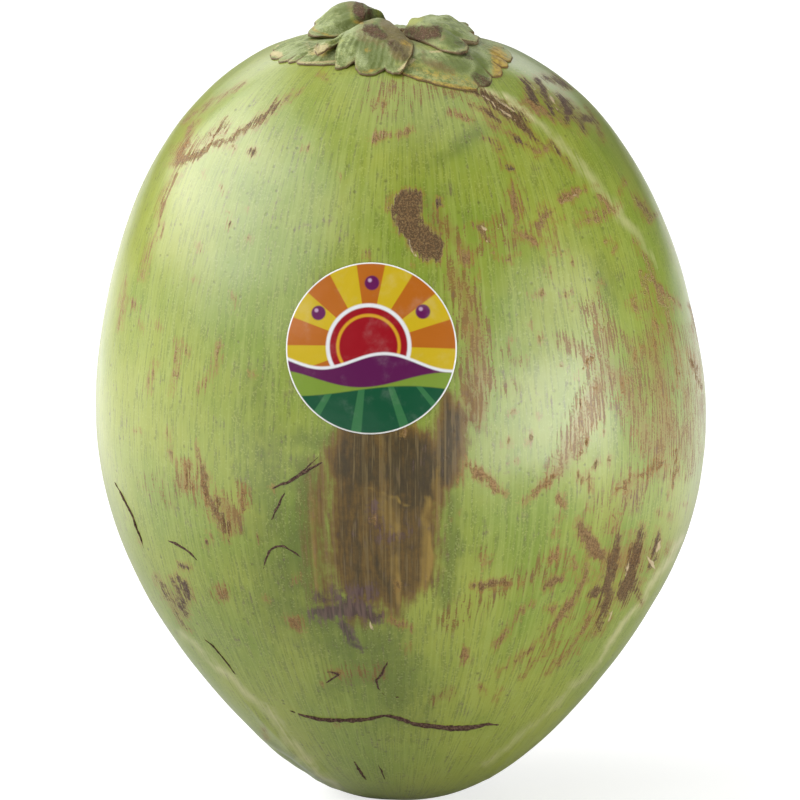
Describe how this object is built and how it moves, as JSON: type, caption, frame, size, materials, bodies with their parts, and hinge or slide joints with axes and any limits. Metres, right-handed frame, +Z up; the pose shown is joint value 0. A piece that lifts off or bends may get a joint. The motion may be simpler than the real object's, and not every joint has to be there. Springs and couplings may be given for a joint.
{
  "type": "green coconut",
  "caption": "Fresh green coconut standing on its blunt end: three-ridged oval husk, cap of leathery scales round the stalk scar, round sticker on the front.",
  "frame": {"origin": "on the table under the middle of the fruit's bounding box", "axes": "+Z up along the fruit from its blunt foot to the cap, -Y towards the side with the sticker, +X to the right of that side"},
  "size_m": [0.1552, 0.1546, 0.205],
  "materials": {
    "husk_rind": "satin waxy plant skin, yellow-green, with brown corky scuffs",
    "tepal_skin": "dull leathery plant scale, grey-green with brown and yellow margins",
    "stalk_cork": "dry fibrous cork, brown",
    "label_film": "thin glossy printed film, orange, yellow, red and green"
  },
  "bodies": {
    "root": {"husk": "husk_rind", "tepal_inner_left": "tepal_skin", "tepal_inner_right": "tepal_skin", "tepal_inner_back": "tepal_skin", "tepal_outer_front": "tepal_skin", "tepal_outer_left": "tepal_skin", "tepal_outer_right": "tepal_skin", "stalk_scar": "stalk_cork", "label": "label_film"}
  },
  "joints": []
}
